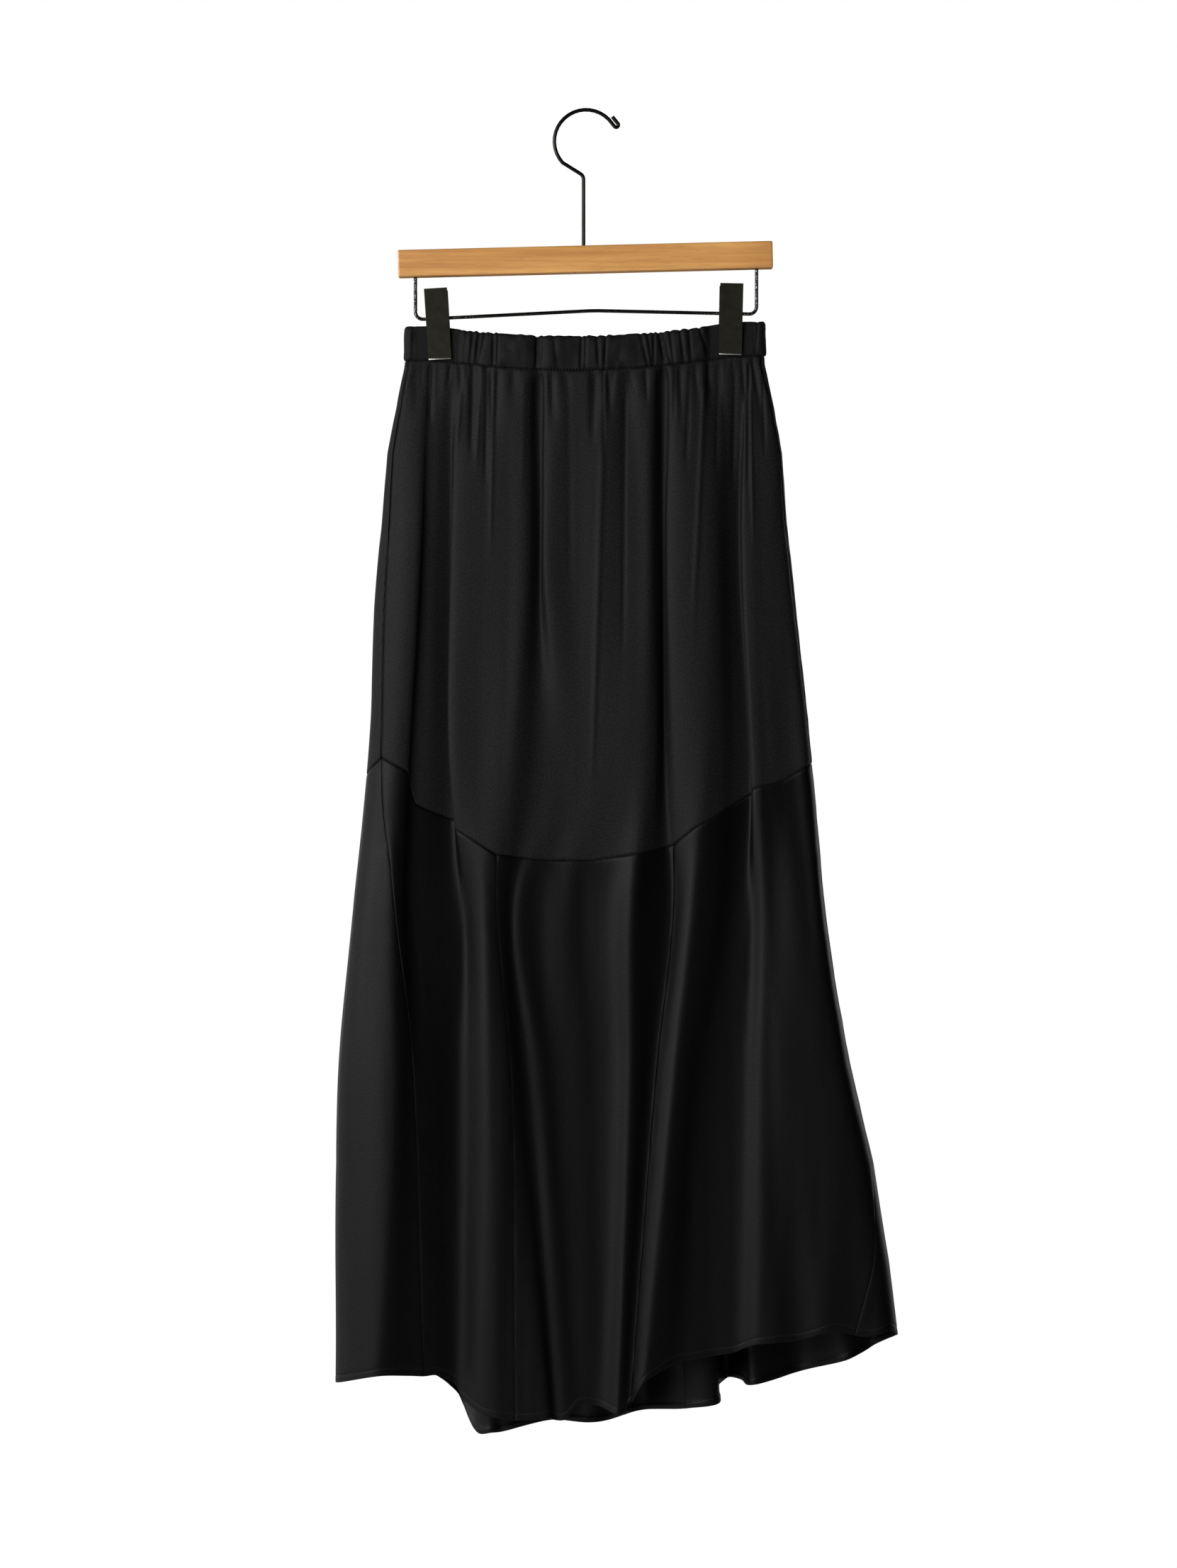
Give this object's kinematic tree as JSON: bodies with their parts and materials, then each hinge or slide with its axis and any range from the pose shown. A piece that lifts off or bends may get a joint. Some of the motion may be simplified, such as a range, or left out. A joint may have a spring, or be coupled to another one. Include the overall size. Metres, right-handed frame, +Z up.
{
  "type": "satin skirt on a wooden clip hanger",
  "caption": "Black satin midi skirt with a gathered waistband, hip yoke and flared gores, hung by its waist from a wooden bar hanger with clips",
  "frame": {"origin": "the inside of the hook's top, where a rail carries the hanger", "axes": "+X to the right of someone who looks at the front, +Y towards the back, +Z up"},
  "size_m": [0.4733, 0.1058, 1.1258],
  "materials": {
    "satin": "satin, soft folds",
    "bar_wood": "fine-grained, clear satin varnish",
    "dark_wire": "dark plated wire",
    "clip_enamel": "dark enamel, worn bright at the edges"
  },
  "bodies": {
    "root": {"waistband": "satin", "hip_panel_front": "satin", "hip_panel_back": "satin", "gore_front_left": "satin", "gore_front_middle": "satin", "gore_front_right": "satin", "gore_back_right": "satin", "gore_back_middle": "satin", "gore_back_left": "satin", "pocket_left": "satin", "pocket_right": "satin", "hanger_bar": "bar_wood", "hook": "dark_wire", "clip_rail": "dark_wire", "clip_left_front": "clip_enamel", "clip_left_back": "clip_enamel", "clip_left_spring": "dark_wire", "clip_right_front": "clip_enamel", "clip_right_back": "clip_enamel", "clip_right_spring": "dark_wire"}
  },
  "joints": []
}
